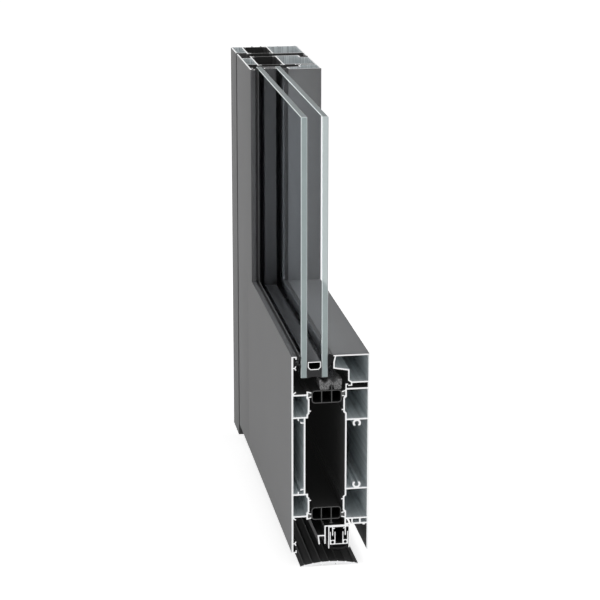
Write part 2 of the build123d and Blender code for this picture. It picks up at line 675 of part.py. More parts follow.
def drop_seal_housing():
    """Channel that is open below, with two guides for the carrier and a barb on each."""
    top = SEAL_TOP - BRACKET_WALL
    foot = LEAF_FOOT + HOUSING_FOOT
    barb = top - BARB_DROP
    half = HOUSING_WALL / 2
    section = block(HOUSING_LEFT, HOUSING_RIGHT, foot, top)
    section -= block(HOUSING_LEFT + HOUSING_WALL, HOUSING_RIGHT - HOUSING_WALL, foot, top - HOUSING_WALL)
    for guide, side in ((HOUSING_LEFT + GUIDE_INSET, 1), (HOUSING_RIGHT - GUIDE_INSET, -1)):
        section += block(guide - half, guide + half, top - GUIDE_LENGTH, top)
        section += block(guide, guide + side * (half + GUIDE_BARB), barb - half, barb + half)
    return level(section, LEAF_CORE_FRONT)


def drop_seal_carrier():
    """Extrusion that slides down in the housing: two channels round the guide lips, each
    with a screw port at its foot, on one base."""
    base = LEAF_FOOT + CARRIER_BASE
    top = LEAF_FOOT + CARRIER_TOP
    left = HOUSING_LEFT + HOUSING_WALL + CARRIER_PLAY
    right = HOUSING_RIGHT - HOUSING_WALL - CARRIER_PLAY
    section = block(left, right, base - CARRIER_WALL, base)
    port = base + CARRIER_PORT / 2
    for guide in (HOUSING_LEFT + GUIDE_INSET, HOUSING_RIGHT - GUIDE_INSET):
        reach = HOUSING_LEFT + GUIDE_INSET - left
        section += block(guide - reach, guide + reach, base, base + CARRIER_PORT + CARRIER_WALL)
        section -= Pos(guide, port) * Circle(CARRIER_PORT / 2)
        for side in (guide - reach, guide + reach - CARRIER_WALL):
            section += block(side, side + CARRIER_WALL, base, top)
    return level(section, LEAF_CORE_FRONT + CARRIER_END_PLAY)


def drop_seal_rubber():
    """Hollow rubber lip under the carrier, with a rounded belly."""
    base = LEAF_FOOT + CARRIER_BASE - CARRIER_WALL
    left = HOUSING_LEFT + HOUSING_WALL + CARRIER_PLAY
    right = HOUSING_RIGHT - HOUSING_WALL - CARRIER_PLAY
    outside = rubber_outline(left, right, base, LEAF_FOOT + RUBBER_FOOT)
    wall = RUBBER_WALL
    inside = rubber_outline(left + wall, right - wall, base - wall, LEAF_FOOT + RUBBER_FOOT + wall)
    return level(outside - inside, LEAF_CORE_FRONT + CARRIER_END_PLAY)


def rubber_outline(left, right, top, foot):
    """A rectangle whose lower side is an arc."""
    middle = (left + right) / 2
    belly = ThreePointArc((left, foot + RUBBER_BELLY), (middle, foot), (right, foot + RUBBER_BELLY))
    sides = Polyline((left, foot + RUBBER_BELLY), (left, top), (right, top), (right, foot + RUBBER_BELLY))
    return make_face(belly + sides)


def saddle_arch(rise):
    """The threshold's outline from the floor up to its arched top, lifted by rise."""
    outer = SADDLE_OUTER
    inner = SADDLE_OUTER + SADDLE_DEPTH
    edge = SADDLE_EDGE + rise
    top = ThreePointArc((outer, edge), ((outer + inner) / 2, SADDLE_CROWN + rise), (inner, edge))
    return make_face(top + Polyline((outer, edge), (outer, 0), (inner, 0), (inner, edge)))


def spread(count, width):
    """Evenly spaced bars of one width across the depth of the threshold, taller than it."""
    pitch = SADDLE_DEPTH / count
    height = 2 * SADDLE_CROWN
    bars = []
    for index in range(count):
        middle = SADDLE_OUTER + (index + 0.5) * pitch
        bars.append(block(middle - width / 2, middle + width / 2, 0, height))
    return join(bars)


def threshold_saddle():
    """Low arched threshold with raised ribs to walk on and small feet below."""
    body = saddle_arch(0)
    hollow = Pos(0, -SADDLE_WALL) * body
    ribs = saddle_arch(RIB_HEIGHT) & spread(SADDLE_RIBS, RIB_WIDTH)
    feet = body & spread(SADDLE_FEET, SADDLE_FOOT)
    return level(body + ribs - hollow + feet, JAMB_CORE)


save("jamb_outer_shell", jamb_outer_shell())
save("jamb_inner_shell", jamb_inner_shell())
save("jamb_back_bar", upright(flat_bar(GROOVE_EDGE, BAR_LUGS), 0))
save("jamb_front_bar", upright(flat_bar(JAMB_CORE - GROOVE_EDGE), 0))
save("jamb_stop_gasket", jamb_stop_gasket())
save("threshold_saddle", threshold_saddle())

save("stile_outer_shell", stile_outer_shell())
save("stile_inner_shell", stile_inner_shell())
save("stile_back_bar", upright(flat_bar(LEAF_CORE + GROOVE_EDGE), LEAF_FOOT))
save("stile_front_bar", upright(flat_bar(LEAF_CORE_FRONT - GROOVE_EDGE), LEAF_FOOT))
save("rail_outer_shell", rail_outer_shell())
save("rail_inner_shell", rail_inner_shell())
save("rail_upper_bar", rail_bar(1))
save("rail_lower_bar", rail_bar(-1))

save("stile_bead", upright(bead_section(SIGHT_X), SIGHT_Z))
save("rail_bead", rail_bead())
save("outer_pane", pane(PANE_FACE))
save("inner_pane", pane(INNER_PANE))
save("stile_spacer", stile_spacer())
save("rail_spacer", rail_spacer())
save("stile_edge_seal", stile_edge_seal())
save("rail_edge_seal", level(Pos(0, GLASS_Z) * edge_seal_section(), GLASS_X))
save("stile_outer_gasket", upright(outer_gasket(SIGHT_X), SIGHT_Z))
save("rail_outer_gasket", level(outer_gasket(SIGHT_Z), LEAF_CORE_FRONT))
save("stile_inner_gasket", upright(inner_gasket(SIGHT_X), SIGHT_Z + WEDGE_RISE))
save("rail_inner_gasket", level(inner_gasket(SIGHT_Z), LEAF_CORE_FRONT))
save("rebate_foam", rebate_foam())

save("drop_seal_bracket", drop_seal_bracket())
save("drop_seal_housing", drop_seal_housing())
save("drop_seal_carrier", drop_seal_carrier())
save("drop_seal_rubber", drop_seal_rubber())
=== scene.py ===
# %% [markdown]
# # A cut corner of an aluminium entrance door
#
# A door like this is put together from lengths of extruded aluminium, plastic bars that
# stop the cold, rubber strips and two sheets of glass. The sample is sawn off on two
# sides, so that every section shows. The shapes and their places come from the packed
# CAD model. Blender adds what the press, the saw and the coating line leave on them.

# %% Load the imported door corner
import json
import math

import bmesh
import bpy
from mathutils import Matrix, Vector

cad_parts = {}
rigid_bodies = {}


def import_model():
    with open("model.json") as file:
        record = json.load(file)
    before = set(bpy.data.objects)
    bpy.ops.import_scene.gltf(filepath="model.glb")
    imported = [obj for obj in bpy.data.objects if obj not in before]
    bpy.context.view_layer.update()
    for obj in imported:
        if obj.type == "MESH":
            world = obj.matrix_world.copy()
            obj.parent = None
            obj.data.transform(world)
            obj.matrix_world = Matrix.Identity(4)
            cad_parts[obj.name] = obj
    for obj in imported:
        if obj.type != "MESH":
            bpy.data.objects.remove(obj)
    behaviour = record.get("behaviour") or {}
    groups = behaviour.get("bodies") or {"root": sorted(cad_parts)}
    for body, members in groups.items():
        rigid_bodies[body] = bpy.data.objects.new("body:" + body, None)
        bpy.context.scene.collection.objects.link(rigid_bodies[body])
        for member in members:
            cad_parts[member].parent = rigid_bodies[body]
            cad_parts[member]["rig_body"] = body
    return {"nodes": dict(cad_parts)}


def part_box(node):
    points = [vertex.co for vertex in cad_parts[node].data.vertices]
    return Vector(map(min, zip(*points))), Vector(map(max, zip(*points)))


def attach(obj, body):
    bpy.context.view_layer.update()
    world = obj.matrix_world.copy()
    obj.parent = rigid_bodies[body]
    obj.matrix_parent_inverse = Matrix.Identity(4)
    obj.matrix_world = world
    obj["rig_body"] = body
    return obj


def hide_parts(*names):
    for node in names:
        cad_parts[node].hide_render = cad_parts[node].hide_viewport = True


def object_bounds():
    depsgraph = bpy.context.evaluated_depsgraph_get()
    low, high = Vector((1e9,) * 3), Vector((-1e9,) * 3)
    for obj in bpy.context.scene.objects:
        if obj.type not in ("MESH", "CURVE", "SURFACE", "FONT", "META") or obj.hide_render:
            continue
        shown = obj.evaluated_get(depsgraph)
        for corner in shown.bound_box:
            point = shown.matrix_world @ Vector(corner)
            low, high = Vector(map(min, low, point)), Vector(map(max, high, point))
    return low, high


for leftover in list(bpy.data.objects):
    bpy.data.objects.remove(leftover)

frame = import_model()
cad_low, cad_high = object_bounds()
print("door corner, in metres:", [round(side, 4) for side in cad_high - cad_low])

# %% [markdown]
# ## Into the scene
#
# A camera, a lamp or a mesh is only data until an object shows it. One helper makes the
# object and links it, for everything that follows.


# %% A helper that adds an object
def add_object(name, data):
    """A new object of the scene that shows a mesh, or holds a lamp or a camera."""
    thing = bpy.data.objects.new(name, data)
    bpy.context.scene.collection.objects.link(thing)
    return thing


# %% [markdown]
# ## Where the camera stands
#
# A long lens from a good way off keeps the upright lines upright. The viewer looks down
# a little at the sawn end of the rail and sees the outer face at a slant. A camera could
# be aimed by a constraint, but a place and a direction say the same in two lines.

# %% The camera
CAMERA_PLACE = Vector((2.2929, -0.3436, 0.5548))
LOOKING_ALONG = Vector((-0.9534, 0.1493, -0.2620))
LENS_MM = 124.6

camera_data = bpy.data.cameras.new("camera")
camera_data.lens = LENS_MM
camera = add_object("camera", camera_data)
camera.location = CAMERA_PLACE
camera.rotation_euler = LOOKING_ALONG.to_track_quat("-Z", "Y").to_euler()
bpy.context.scene.camera = camera
camera_way = (CAMERA_PLACE - (cad_low + cad_high) / 2).length
print("camera to the middle of the door:", round(camera_way, 2), "m")

# %% [markdown]
# ## Nodes with less typing
#
# Every material and every group below is a small tree of nodes. One helper sets the plain
# values of a node and one adds a node with its values, so that each line of a recipe
# reads like a line of a recipe. The third tells what the eye sees from what only throws
# light.


# %% Helpers for nodes
def set_values(node, values):
    """Gives the sockets of a node their plain values."""
    for socket, value in values.items():
        node.inputs[socket].default_value = value


def add_node(tree, kind, values=None, **settings):
    """A new node in a tree, with its own settings and the plain values of its sockets."""
    node = tree.nodes.new(kind)
    for setting, value in settings.items():
        setattr(node, setting, value)
    set_values(node, values or {})
    return node


def seen_directly(tree):
    """A number that is 1 where the eye, a mirror image or clear glass looks at a surface."""
    path = add_node(tree, "ShaderNodeLightPath")
    mirror = add_node(tree, "ShaderNodeMath", operation="MAXIMUM")
    seen = add_node(tree, "ShaderNodeMath", operation="MAXIMUM")
    tree.links.new(path.outputs["Is Camera Ray"], mirror.inputs[0])
    tree.links.new(path.outputs["Is Glossy Ray"], mirror.inputs[1])
    tree.links.new(mirror.outputs[0], seen.inputs[0])
    tree.links.new(path.outputs["Is Transmission Ray"], seen.inputs[1])
    return seen.outputs[0]


# %% [markdown]
# ## A white studio
#
# The sample stands in plain white light. The surroundings look white to the eye, to
# polished metal and to glass, but light the door less than that, so that its faces keep
# their own shades. Two large soft lamps give the faces their differences.

# %% White surroundings
WHITE = (1, 1, 1, 1)
SKY_LIGHT = 0.38

world = bpy.data.worlds.new("white studio")
bpy.context.scene.world = world
world.use_nodes = True
sky = world.node_tree.nodes["Background"]
sky.inputs["Color"].default_value = WHITE
sky_strength = add_node(world.node_tree, "ShaderNodeMapRange", {"To Min": SKY_LIGHT, "To Max": 1.0})
world.node_tree.links.new(seen_directly(world.node_tree), sky_strength.inputs["Value"])
world.node_tree.links.new(sky_strength.outputs["Result"], sky.inputs["Strength"])

bpy.context.scene.view_settings.view_transform = "Standard"
print("sky lights the door at", SKY_LIGHT)


# %% Soft lamps
def soft_lamp(name, place, size, power):
    """A square lamp that shines at the middle of the door."""
    data = bpy.data.lights.new(name, "AREA")
    data.size = size
    data.energy = power
    lamp = add_object(name, data)
    lamp.location = place
    lamp.rotation_euler = (-Vector(place)).to_track_quat("-Z", "Y").to_euler()


soft_lamp("lamp before the outer face", place=(0.6, -2.6, 0.2), size=0.8, power=18.5)
soft_lamp("lamp over the sample", place=(0.5, 0.6, 2.8), size=1.2, power=13)
print("lamps:", sorted(lamp.name for lamp in bpy.data.lights))

# %% [markdown]
# ## The floor
#
# The floor is a large pale sheet just under the jamb's foot. It takes the shadow like any
# matt board. Some light of its own lifts it to the white of the surroundings. Only the
# eye sees that light, directly, in a mirror image or through glass, so it throws none on
# the door.

# %% The floor
FLOOR_REACH = 30.0
FLOOR_GAP = 0.0002
FLOOR_COLOUR = (0.80, 0.80, 0.80, 1)
FLOOR_ROUGHNESS = 0.9
FLOOR_LIFT = 0.74

floor_mesh = bpy.data.meshes.new("floor")
floor_corners = [(x, y, cad_low.z - FLOOR_GAP)
                 for x, y in ((-FLOOR_REACH, -FLOOR_REACH), (FLOOR_REACH, -FLOOR_REACH),
                              (FLOOR_REACH, FLOOR_REACH), (-FLOOR_REACH, FLOOR_REACH))]
floor_mesh.from_pydata(floor_corners, [], [(0, 1, 2, 3)])
floor = add_object("floor", floor_mesh)

board = bpy.data.materials.new("pale board")
board.use_nodes = True
board_shader = board.node_tree.nodes["Principled BSDF"]
set_values(board_shader, {
    "Base Color": FLOOR_COLOUR,
    "Roughness": FLOOR_ROUGHNESS,
    "Specular IOR Level": 0.0,
    "Emission Color": WHITE,
})
board_lift = add_node(board.node_tree, "ShaderNodeMath", {1: FLOOR_LIFT}, operation="MULTIPLY")
board.node_tree.links.new(seen_directly(board.node_tree), board_lift.inputs[0])
board.node_tree.links.new(board_lift.outputs[0], board_shader.inputs["Emission Strength"])
floor_mesh.materials.append(board)
print("floor at", round(cad_low.z - FLOOR_GAP, 4), "m")

# %% [markdown]
# ## Effects that several finishes share
#
# A node group is a named recipe. Each one here turns a place on the surface into two
# numbers: a shade near 1 that lightens or darkens the colour, and a height for the
# bump. The finishes that follow use the groups with their own values.

# %% Helpers for effects
MM_PER_METRE = 1000.0


def start_effect(name, sizes):
    """A shader group with number inputs, a Shade and a Height output, and its end nodes."""
    group = bpy.data.node_groups.new(name, "ShaderNodeTree")
    for label, value in sizes.items():
        socket = group.interface.new_socket(label, in_out="INPUT", socket_type="NodeSocketFloat")
        socket.default_value = value
    for label in ("Shade", "Height"):
        group.interface.new_socket(label, in_out="OUTPUT", socket_type="NodeSocketFloat")
    return group, group.nodes.new("NodeGroupInput"), group.nodes.new("NodeGroupOutput")


def give_shade(group, pattern, given, out):
    """Wires a pattern from 0 to 1 to the height, and to a shade that swings about 1."""
    middle = add_node(group, "ShaderNodeMath", {1: 0.5}, operation="SUBTRACT")
    swing = add_node(group, "ShaderNodeMath", {2: 1.0}, operation="MULTIPLY_ADD")
    group.links.new(pattern, middle.inputs[0])
    group.links.new(middle.outputs[0], swing.inputs[0])
    group.links.new(given.outputs["Contrast"], swing.inputs[1])
    group.links.new(swing.outputs[0], out.inputs["Shade"])
    group.links.new(pattern, out.inputs["Height"])


def per_millimetre(group, given, top):
    """The scale of a pattern that repeats at the group's Size, given in millimetres."""
    scale = add_node(group, "ShaderNodeMath", {0: top}, operation="DIVIDE")
    group.links.new(given.outputs["Size"], scale.inputs[1])
    return scale.outputs[0]


# %% [markdown]
# Powder coat is dust that was baked to a skin, so it has a fine, even grain. Rubber and
# foam have a coarser one. Noise on the object's own coordinates gives all of them, and it
# stays where it is when a part turns.

# %% Grain
grain, grain_in, grain_out = start_effect("grain", {"Size": 1.0, "Contrast": 0.1, "Detail": 2.0})
grain_place = add_node(grain, "ShaderNodeTexCoord")
grain_noise = add_node(grain, "ShaderNodeTexNoise", {"Roughness": 0.6})
grain.links.new(grain_place.outputs["Object"], grain_noise.inputs["Vector"])
grain.links.new(per_millimetre(grain, grain_in, MM_PER_METRE), grain_noise.inputs["Scale"])
grain.links.new(grain_in.outputs["Detail"], grain_noise.inputs["Detail"])
give_shade(grain, grain_noise.outputs["Fac"], grain_in, grain_out)
print("effect:", grain.name)

# %% [markdown]
# Hot aluminium is pushed through a steel die, and each small notch in the die draws a
# line along the whole bar. The pattern only changes across the section. Each piece has a
# UV map that holds the place in the section, so noise on that map runs as true lines
# along upright and level bars alike.

# %% Die lines
SECTION_MAP = "section"

die_lines, die_in, die_out = start_effect("die lines", {"Size": 1.0, "Contrast": 0.2})
die_place = add_node(die_lines, "ShaderNodeUVMap", uv_map=SECTION_MAP)
die_noise = add_node(die_lines, "ShaderNodeTexNoise", {"Detail": 4.0, "Roughness": 0.7})
die_lines.links.new(die_place.outputs["UV"], die_noise.inputs["Vector"])
die_lines.links.new(per_millimetre(die_lines, die_in, MM_PER_METRE), die_noise.inputs["Scale"])
give_shade(die_lines, die_noise.outputs["Fac"], die_in, die_out)
print("effect:", die_lines.name)

# %% [markdown]
# A circular saw leaves shallow arcs on the end of a bar. Rings around a point well
# outside the section look like that from near by. A little distortion keeps them from
# being as even as a thread.

# %% Saw marks
BLADE_CENTRE = (0.28, -0.35, 0.0)
RINGS_PER_METRE = 314.0

saw_marks, saw_in, saw_out = start_effect("saw marks", {"Size": 0.5, "Contrast": 0.1})
saw_place = add_node(saw_marks, "ShaderNodeUVMap", uv_map=SECTION_MAP)
saw_shift = add_node(saw_marks, "ShaderNodeVectorMath", {1: BLADE_CENTRE}, operation="ADD")
saw_rings = add_node(saw_marks, "ShaderNodeTexWave",
                     {"Distortion": 2.0, "Detail": 2.0, "Detail Scale": 1.5},
                     wave_type="RINGS", rings_direction="SPHERICAL")
saw_marks.links.new(saw_place.outputs["UV"], saw_shift.inputs[0])
saw_marks.links.new(saw_shift.outputs[0], saw_rings.inputs["Vector"])
saw_marks.links.new(per_millimetre(saw_marks, saw_in, RINGS_PER_METRE), saw_rings.inputs["Scale"])
give_shade(saw_marks, saw_rings.outputs["Fac"], saw_in, saw_out)
print("effect:", saw_marks.name)

# %% [markdown]
# ## Finishes
#
# One helper makes them all: a colour, a roughness, a share of metal, and the effects that
# work on them. The shades are multiplied with the colour and the heights are added up
# for one bump.


# %% A helper that makes a finish
def make_finish(name, colour, roughness, metallic=0.0, gloss=0.5, glow=0.0, effects=(), relief=0.0):
    """A material whose colour is shaded, and whose surface is raised, by each effect."""
    material = bpy.data.materials.new(name)
    material.use_nodes = True
    tree = material.node_tree
    shader = tree.nodes["Principled BSDF"]
    set_values(shader, {
        "Roughness": roughness,
        "Metallic": metallic,
        "Specular IOR Level": gloss,
        "Emission Color": WHITE,
        "Emission Strength": glow,
    })
    tint = add_node(tree, "ShaderNodeVectorMath", {0: colour}, operation="SCALE")
    bump = add_node(tree, "ShaderNodeBump", {"Strength": 1.0, "Distance": relief})
    shade, height = tint.inputs["Scale"], bump.inputs["Height"]
    for group, sizes in effects:
        effect = add_node(tree, "ShaderNodeGroup", sizes, node_tree=group)
        product = add_node(tree, "ShaderNodeMath", {1: 1.0}, operation="MULTIPLY")
        total = add_node(tree, "ShaderNodeMath", {1: 0.0}, operation="ADD")
        tree.links.new(effect.outputs["Shade"], product.inputs[0])
        tree.links.new(effect.outputs["Height"], total.inputs[0])
        tree.links.new(product.outputs[0], shade)
        tree.links.new(total.outputs[0], height)
        shade, height = product.inputs[1], total.inputs[1]
    tree.links.new(tint.outputs[0], shader.inputs["Base Color"])
    tree.links.new(bump.outputs[0], shader.inputs["Normal"])
    return material


# %% [markdown]
# The faces that a visitor sees are powder coated in a middle grey, matt and finely
# grained. The coat beside the glass is the same, but its narrow edge is painted darker,
# as painted shade from the panes and the bead. The sides that face the rebates and the
# gap are painted darker still, as painted shade for the dark of the joint, which keeps the
# section's lines clear against them. They and the bars get a trace of light of their own,
# which stands for all the small reflections deep in a hollow.

# %% Coated faces
HOLLOW_GLOW = 0.0035

grey_coat = make_finish(
    "grey powder coat", (0.257, 0.257, 0.259), 0.70, gloss=0.02,
    effects=((grain, {"Size": 0.55, "Contrast": 0.10, "Detail": 2.0}),
             (grain, {"Size": 70.0, "Contrast": 0.05, "Detail": 1.0})),
    relief=0.00006)
# painted shade: this coat is half as light as the show faces, for the shade that panes and bead cast
# on the narrow edge
edge_coat_painted_shade = make_finish(
    "coat beside the glass with painted shade", (0.130, 0.130, 0.132), 0.60, gloss=0.05,
    effects=((die_lines, {"Size": 1.6, "Contrast": 0.3}),
             (grain, {"Size": 0.6, "Contrast": 0.1, "Detail": 2.0})),
    relief=0.00004)
# painted shade: the near-black coat in rebates and gap stands for the dark of the joint
rebate_coat_painted_shade = make_finish(
    "coat of the rebates with painted shade", (0.080, 0.080, 0.081), 0.55, gloss=0.15, glow=HOLLOW_GLOW,
    effects=((die_lines, {"Size": 1.6, "Contrast": 0.8}),
             (grain, {"Size": 0.6, "Contrast": 0.3, "Detail": 2.0})),
    relief=0.00004)
print("coats:", grey_coat.name, edge_coat_painted_shade.name, rebate_coat_painted_shade.name)

# %% [markdown]
# Inside its chambers the aluminium stays as the press left it: bluish grey, half bright,
# with lines along the bar, which are stronger in jamb and stile. Where the saw went
# through, it shines almost white. Rough metal mirrors its surroundings softly, which
# makes the thin walls light up like that. Fully metallic walls would only mirror one
# another deep in a chamber and go dark, so about a third of them is metal.


# %% Bare aluminium
def chamber_finish(name, fine_lines, broad_lines):
    """The finish of chamber walls, with the contrasts of its fine and its broad die lines."""
    return make_finish(
        name, (0.80, 0.842, 0.857), 0.48, metallic=0.35,
        effects=((die_lines, {"Size": 1.1, "Contrast": fine_lines}),
                 (die_lines, {"Size": 6.0, "Contrast": broad_lines}),
                 (grain, {"Size": 3.0, "Contrast": 0.12, "Detail": 3.0})),
        relief=0.00008)


chamber_metal = chamber_finish("aluminium inside the chambers", 0.7, 0.8)
streaky_metal = chamber_finish("streaky aluminium inside upright chambers", 1.5, 1.3)
sawn_metal = make_finish(
    "sawn aluminium", (0.93, 0.935, 0.94), 0.38, metallic=0.75,
    effects=((saw_marks, {"Size": 0.6, "Contrast": 0.10}),
             (grain, {"Size": 0.8, "Contrast": 0.05, "Detail": 2.0})),
    relief=0.00002)
mill_metal = make_finish(
    "dark skin of the drop seal", (0.060, 0.060, 0.061), 0.42, metallic=0.2,
    effects=((die_lines, {"Size": 0.8, "Contrast": 0.35}),
             (grain, {"Size": 2.0, "Contrast": 0.08, "Detail": 2.0})),
    relief=0.00004)
black_metal = make_finish(
    "black anodised threshold", (0.085, 0.085, 0.086), 0.60, gloss=0.05,
    effects=((die_lines, {"Size": 0.9, "Contrast": 0.3}),
             (grain, {"Size": 1.5, "Contrast": 0.2, "Detail": 3.0})),
    relief=0.00003)
for metal in (chamber_metal, streaky_metal, sawn_metal, mill_metal, black_metal):
    print("metal:", metal.name)

# %% [markdown]
# The bars between the outer and the inner shells are plastic filled with glass fibre.
# Their skin is black and a little streaked, and the saw leaves the fibres grey.
# Rubber is matt, and its outside is much lighter than a fresh cut through it, which is
# black. The edge sealant and the foam are softer still. All are dark and dull, so it is
# mostly the size and the contrast of their grain that tells them apart.

# %% Plastic and rubber
bar_plastic = make_finish(
    "black plastic bar", (0.032, 0.032, 0.032), 0.55, gloss=0.15, glow=HOLLOW_GLOW,
    effects=((die_lines, {"Size": 0.7, "Contrast": 0.7}),
             (grain, {"Size": 0.7, "Contrast": 0.4, "Detail": 3.0})),
    relief=0.00005)
bar_cut = make_finish(
    "sawn plastic bar", (0.135, 0.135, 0.135), 0.62,
    effects=((grain, {"Size": 0.35, "Contrast": 0.5, "Detail": 3.0}),
             (saw_marks, {"Size": 0.5, "Contrast": 0.12})),
    relief=0.00003)
# the outside of the rubber is about five times lighter than its cut
rubber = make_finish(
    "matt rubber skin", (0.110, 0.110, 0.111), 0.58, gloss=0.10,
    effects=((die_lines, {"Size": 0.9, "Contrast": 0.5}),
             (grain, {"Size": 0.5, "Contrast": 0.3, "Detail": 3.0})),
    relief=0.00005)
rubber_cut = make_finish(
    "cut rubber", (0.020, 0.020, 0.021), 0.66, gloss=0.15,
    effects=((grain, {"Size": 0.4, "Contrast": 0.5, "Detail": 3.0}),),
    relief=0.00004)
sealant = make_finish(
    "grey edge sealant", (0.058, 0.058, 0.060), 0.60, gloss=0.2,
    effects=((grain, {"Size": 1.8, "Contrast": 0.3, "Detail": 3.0}),
             (grain, {"Size": 0.4, "Contrast": 0.25, "Detail": 2.0})),
    relief=0.00010)
foam_skin = make_finish(
    "speckled grey foam", (0.31, 0.31, 0.312), 0.85,
    effects=((grain, {"Size": 1.2, "Contrast": 3.4, "Detail": 1.0}),
             (grain, {"Size": 0.45, "Contrast": 1.2, "Detail": 2.0})),
    relief=0.00030)
for plastic in (bar_plastic, bar_cut, rubber, rubber_cut, sealant, foam_skin):
    print("plastic or rubber:", plastic.name)

# %% [markdown]
# The spacer holds the panes apart. It is a thin metal box with a dark grey skin. The walls
# inside its hollow, and inside those of the plastic bars, are painted nearly black as
# painted shade, because hardly any light comes back out of such hollows.

# %% Spacer
spacer_skin = make_finish(
    "grey spacer", (0.052, 0.053, 0.055), 0.45, metallic=0.3,
    effects=((die_lines, {"Size": 0.8, "Contrast": 0.4}),
             (grain, {"Size": 0.6, "Contrast": 0.15, "Detail": 2.0})),
    relief=0.00003)
# painted shade: near-black walls inside the hollows of spacer and bars stand for the shade in them
hollow_inside_painted_shade = make_finish(
    "painted shade inside small hollows", (0.015, 0.015, 0.015), 0.7, gloss=0.1,
    effects=((grain, {"Size": 0.8, "Contrast": 0.6, "Detail": 2.0}),),
    relief=0.00005)
print("spacer:", spacer_skin.name, "and", hollow_inside_painted_shade.name)

# %% [markdown]
# Clear glass is nearly nothing to look at from the front, but its sawn ends scatter the
# light that runs inside the sheet and look grey green. A little still passes, so an end
# is lighter before the white background. The rim along the top is painted dark grey
# green, as painted shade for the eye looking into the sheet, and the edges buried in
# stile and rail are painted nearly black, as painted shade. So the large faces, the ends,
# the rim, the ground arrises and the buried edges get a finish each.
#
# A shadow ray passes the clear faces through a plain transparent shader: the parts behind
# the glass are lit as they are in a real room. The glass hardly bends light here, because
# at this slant full bending would show the wrong piece behind a pane.

# %% Glass
GLASS_TINT = (0.94, 0.95, 0.96, 1)
GLASS_PASSES = (0.90, 0.92, 0.93, 1)
GLASS_IOR = 1.001
GLASS_GLOSS = 0.04
EDGE_COVER = 0.81

clear_glass = bpy.data.materials.new("clear glass")
clear_glass.use_nodes = True
glass_tree = clear_glass.node_tree
glass_shader = glass_tree.nodes["Principled BSDF"]
set_values(glass_shader, {
    "Base Color": GLASS_TINT,
    "Roughness": 0.0,
    "IOR": GLASS_IOR,
    "Transmission Weight": 1.0,
})
glass_through = add_node(glass_tree, "ShaderNodeBsdfRefraction",
                         {"Color": GLASS_TINT, "Roughness": 0.0, "IOR": GLASS_IOR})
glass_coated = add_node(glass_tree, "ShaderNodeMixShader", {0: GLASS_GLOSS})
glass_shadow = add_node(glass_tree, "ShaderNodeBsdfTransparent", {"Color": GLASS_PASSES})
glass_mix = add_node(glass_tree, "ShaderNodeMixShader")
glass_path = add_node(glass_tree, "ShaderNodeLightPath")
glass_tree.links.new(glass_through.outputs[0], glass_coated.inputs[1])
glass_tree.links.new(glass_shader.outputs[0], glass_coated.inputs[2])
glass_tree.links.new(glass_path.outputs["Is Shadow Ray"], glass_mix.inputs[0])
glass_tree.links.new(glass_coated.outputs[0], glass_mix.inputs[1])
glass_tree.links.new(glass_shadow.outputs[0], glass_mix.inputs[2])
glass_tree.links.new(glass_mix.outputs[0], glass_tree.nodes["Material Output"].inputs["Surface"])

glass_edge = make_finish(
    "ground glass edge", (0.74, 0.88, 0.88), 0.22,
    effects=((grain, {"Size": 1.2, "Contrast": 0.18, "Detail": 3.0}),
             (grain, {"Size": 25.0, "Contrast": 0.12, "Detail": 2.0})),
    relief=0.00003)
set_values(glass_edge.node_tree.nodes["Principled BSDF"], {"Alpha": EDGE_COVER})
# painted shade: the rim's dark colour stands for the eye looking into the sheet
glass_rim_painted_shade = make_finish(
    "rim of the glass, painted shade", (0.120, 0.160, 0.162), 0.35, gloss=0.22,
    effects=((grain, {"Size": 2.0, "Contrast": 0.20, "Detail": 3.0}),
             (grain, {"Size": 40.0, "Contrast": 0.30, "Detail": 2.0})),
    relief=0.00002)
# painted highlight: the slope is lighter than the ends, so the arris reads as a bright line
glass_arris_painted_highlight = make_finish(
    "ground arris of the glass, with painted highlight", (0.84, 0.92, 0.92), 0.35,
    effects=((grain, {"Size": 0.8, "Contrast": 0.25, "Detail": 3.0}),),
    relief=0.00004)
# painted shade: the buried edges are near black for the dark inside stile and rail
glass_foot_painted_shade = make_finish(
    "buried edge of the glass, painted shade", (0.034, 0.035, 0.035), 0.50, gloss=0.1,
    effects=((grain, {"Size": 1.2, "Contrast": 0.3, "Detail": 2.0}),),
    relief=0.00002)
PANE_LOOK = (clear_glass, glass_edge, glass_rim_painted_shade, glass_arris_painted_highlight, glass_foot_painted_shade)
for glass in PANE_LOOK:
    print("pane:", glass.name)

# %% [markdown]
# ## Reading the sections
#
# A bar has the same section along a whole stretch. To find it, the CAD solid is cut
# across in the middle of the stretch, like on a saw, and the cut edges are walked into
# closed outlines. A CAD node is loose triangles and must stay as it is, so a copy is
# welded and cut. The stile has two stretches: plain beside the rail, and with a glazing
# leg above it.

# %% Cut a solid across
WELD = 1e-6
ON_THE_CUT = WELD / 10
STRAIGHT = 2e-6
STATION_DIGITS = 5
UPRIGHT, LEVEL = 2, 0


def across(point, axis):
    """The two coordinates of a point in the section of a bar that runs along an axis."""
    return Vector((point[(axis + 1) % 3], point[(axis + 2) % 3]))


def walk_outlines(edges, axis):
    """Closed rings of flat points, walked along the loose edges of one cut."""
    beside = {}
    for edge in edges:
        for near, far in (edge.verts, reversed(edge.verts)):
            beside.setdefault(near, []).append(far)
    rings = []
    while beside:
        vertex = next(iter(beside))
        ring = []
        while vertex is not None:
            ring.append(across(vertex.co, axis))
            onward = [other for other in beside.pop(vertex) if other in beside]
            vertex = onward[0] if onward else None
        rings.append(ring)
    return rings


def corners_only(ring):
    """The ring without the points that lie on a straight run."""
    kept = []
    for index, point in enumerate(ring):
        before, after = ring[index - 1], ring[(index + 1) % len(ring)]
        run = (after - before).normalized()
        if abs(run.cross(point - before)) > STRAIGHT:
            kept.append(point)
    return kept


